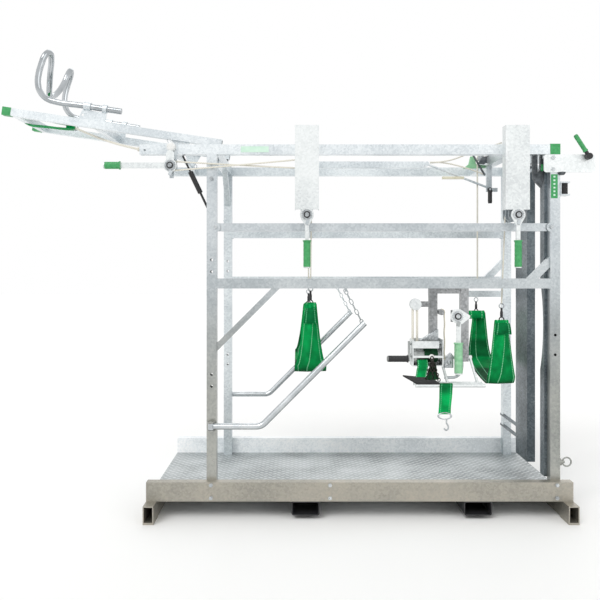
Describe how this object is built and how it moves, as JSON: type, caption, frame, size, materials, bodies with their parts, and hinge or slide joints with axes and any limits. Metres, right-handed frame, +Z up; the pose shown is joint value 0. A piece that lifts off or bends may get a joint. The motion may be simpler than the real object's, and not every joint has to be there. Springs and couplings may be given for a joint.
{
  "type": "hoof trimming crate",
  "caption": "Galvanised walk-in crate that holds a cow for hoof trimming, with belly belts, yoke gate, tilting rear leg frame, hand winches and fork pockets.",
  "frame": {"origin": "on the ground under the middle of the crate's overall length and width", "axes": "+X along the crate towards the head gate, +Y away from the operator's side, +Z up"},
  "size_m": [3.0793, 1.16, 2.4316],
  "materials": {
    "galvanised": "hot-dip galvanised steel with a dull spangle",
    "dark_steel": "dark coated steel",
    "black_steel": "satin black",
    "bright_tube": "bright zinc or chrome plate",
    "black_rubber": "matt black rubber",
    "green_plastic": "mid-green moulded plastic",
    "green_webbing": "woven green webbing with pale stitching",
    "cream_rope": "cream braided rope"
  },
  "bodies": {
    "crate_frame": {"side_beams": "galvanised", "floor_plate": "galvanised", "cross_feet": "galvanised", "fork_pockets": "dark_steel", "rear_posts": "galvanised", "head_posts": "galvanised", "top_rails": "galvanised", "rear_arms": "galvanised", "middle_rails": "galvanised", "lower_rails": "galvanised", "frame_lugs": "galvanised", "top_cross_members": "galvanised", "frame_braces": "galvanised", "strap_boxes": "galvanised", "winch_brackets": "galvanised", "hinge_axle": "galvanised", "rubber_buffers": "black_rubber", "lever_plate": "galvanised", "post_caps": "green_plastic", "buffer_bracket": "galvanised", "yoke_guide": "galvanised", "near_jaw": "galvanised", "leg_unit_frame": "galvanised", "winch_housing": "galvanised", "kick_chains": "galvanised", "lift_ropes": "cream_rope", "belly_belts": "green_webbing", "rope_pulleys": "galvanised", "gate_linkage": "galvanised", "frame_rope": "cream_rope", "leg_strap": "cream_rope", "frame_bolts": "galvanised"},
    "leg_frame": {"leg_frame": "galvanised", "leg_frame_caps": "green_plastic", "rest_sleeves": "galvanised", "leg_sling": "green_webbing", "leg_rope": "cream_rope"},
    "leg_rest": {"leg_rest": "bright_tube"},
    "strut_cylinder": {"strut_cylinder": "black_steel"},
    "strut_rod": {"strut_rod": "black_steel"},
    "rear_winch_drum": {"rear_winch_drum": "galvanised"},
    "rear_winch_lever": {"rear_winch_lever": "galvanised"},
    "rear_belly_drum": {"rear_belly_drum": "galvanised"},
    "rear_belly_lever": {"rear_belly_lever": "galvanised"},
    "front_belly_drum": {"front_belly_drum": "galvanised"},
    "front_belly_lever": {"front_belly_lever": "galvanised"},
    "kick_bar_near": {"kick_bar_near": "galvanised"},
    "kick_bar_far": {"kick_bar_far": "galvanised"},
    "far_jaw": {"far_jaw": "galvanised"},
    "gate_lever": {"gate_lever": "black_steel"},
    "ring_pin": {"ring_pin": "galvanised"},
    "leg_ratchet_drum": {"leg_ratchet_drum": "galvanised"},
    "leg_ratchet_lever": {"leg_ratchet_lever": "galvanised"},
    "crank": {"crank": "galvanised"},
    "winch_drum": {"winch_drum": "galvanised"},
    "guide_pulley": {"guide_pulley": "galvanised"},
    "hoof_rest": {"hoof_rest": "galvanised", "hoof_mat": "black_rubber", "hoof_strap": "green_webbing"},
    "release_handle": {"release_handle": "black_steel"}
  },
  "joints": [
    {"name": "leg_frame_hinge", "type": "hinge", "parent": "crate_frame", "child": "leg_frame", "pos_m": [-0.603, 0, 1.855], "axis": [0, -1, 0], "range_deg": [0, 95]},
    {"name": "leg_rest_slide", "type": "slide", "parent": "leg_frame", "child": "leg_rest", "axis": [0.989, 0, -0.1478], "range_m": [-0.05, 0.12]},
    {"name": "strut_tilt", "type": "hinge", "parent": "crate_frame", "child": "strut_cylinder", "pos_m": [-0.421, -0.382, 1.545], "axis": [0, -1, 0], "range_deg": [0, 3]},
    {"name": "strut_slide", "type": "slide", "parent": "strut_cylinder", "child": "strut_rod", "axis": [-0.4306, 0, 0.9025], "range_m": [0, 0.0525]},
    {"name": "rear_winch_spin", "type": "hinge", "parent": "crate_frame", "child": "rear_winch_drum", "pos_m": [-0.602, -0.475, 1.765], "axis": [0, 1, 0], "continuous": true},
    {"name": "rear_winch_ratchet", "type": "hinge", "parent": "crate_frame", "child": "rear_winch_lever", "pos_m": [-0.602, -0.498, 1.765], "axis": [0, -1, 0], "range_deg": [-60, 80]},
    {"name": "rear_belly_spin", "type": "hinge", "parent": "crate_frame", "child": "rear_belly_drum", "pos_m": [0.08, -0.37, 1.518], "axis": [0, 1, 0], "continuous": true},
    {"name": "rear_belly_ratchet", "type": "hinge", "parent": "crate_frame", "child": "rear_belly_lever", "pos_m": [0.08, -0.516, 1.518], "axis": [0, 1, 0], "range_deg": [-90, 90]},
    {"name": "front_belly_spin", "type": "hinge", "parent": "crate_frame", "child": "front_belly_drum", "pos_m": [1.128, -0.37, 1.518], "axis": [0, 1, 0], "continuous": true},
    {"name": "front_belly_ratchet", "type": "hinge", "parent": "crate_frame", "child": "front_belly_lever", "pos_m": [1.128, -0.516, 1.518], "axis": [0, 1, 0], "range_deg": [-90, 90]},
    {"name": "kick_bar_near_swing", "type": "hinge", "parent": "crate_frame", "child": "kick_bar_near", "pos_m": [-0.401, -0.47, 0.458], "axis": [0, 0, -1], "range_deg": [0, 100]},
    {"name": "kick_bar_far_swing", "type": "hinge", "parent": "crate_frame", "child": "kick_bar_far", "pos_m": [-0.401, 0.47, 0.458], "axis": [0, 0, 1], "range_deg": [0, 100]},
    {"name": "far_jaw_slide", "type": "slide", "parent": "crate_frame", "child": "far_jaw", "axis": [0, 1, 0], "range_m": [0, 0.305]},
    {"name": "gate_lever_turn", "type": "hinge", "parent": "crate_frame", "child": "gate_lever", "pos_m": [1.495, -0.476, 1.814], "axis": [0, 1, 0], "range_deg": [0, 100]},
    {"name": "ring_pin_pull", "type": "slide", "parent": "crate_frame", "child": "ring_pin", "axis": [1, 0, 0], "range_m": [0, 0.01]},
    {"name": "leg_ratchet_spin", "type": "hinge", "parent": "crate_frame", "child": "leg_ratchet_drum", "pos_m": [0.837, -0.43, 1.011], "axis": [0, 1, 0], "continuous": true},
    {"name": "leg_ratchet_turn", "type": "hinge", "parent": "crate_frame", "child": "leg_ratchet_lever", "pos_m": [0.837, -0.474, 1.011], "axis": [0, -1, 0], "range_deg": [-4, 110]},
    {"name": "winch_drum_spin", "type": "hinge", "parent": "crate_frame", "child": "winch_drum", "pos_m": [0.676, -0.497, 0.818], "axis": [1, 0, 0], "continuous": true},
    {"name": "crank_turn", "type": "hinge", "parent": "crate_frame", "child": "crank", "pos_m": [0.59, -0.497, 0.877], "axis": [1, 0, 0], "continuous": true},
    {"name": "guide_pulley_spin", "type": "hinge", "parent": "crate_frame", "child": "guide_pulley", "pos_m": [0.626, -0.465, 1.071], "axis": [0, 1, 0], "continuous": true},
    {"name": "hoof_rest_fold", "type": "hinge", "parent": "crate_frame", "child": "hoof_rest", "pos_m": [0.8, -0.425, 0.8], "axis": [1, 0, 0], "range_deg": [0, 70]},
    {"name": "release_handle_swing", "type": "hinge", "parent": "crate_frame", "child": "release_handle", "pos_m": [1.117, -0.02, 1.697], "axis": [0, 1, 0], "range_deg": [-45, 45]}
  ],
  "couplings": [
    {"joint": "strut_tilt", "follows": "leg_frame_hinge", "ratio": 0.02211},
    {"joint": "strut_slide", "follows": "leg_frame_hinge", "m_per_rad": 0.031241},
    {"joint": "gate_lever_turn", "follows": "far_jaw_slide", "rad_per_m": 5.7},
    {"joint": "crank_turn", "follows": "winch_drum_spin", "ratio": -2.625}
  ]
}
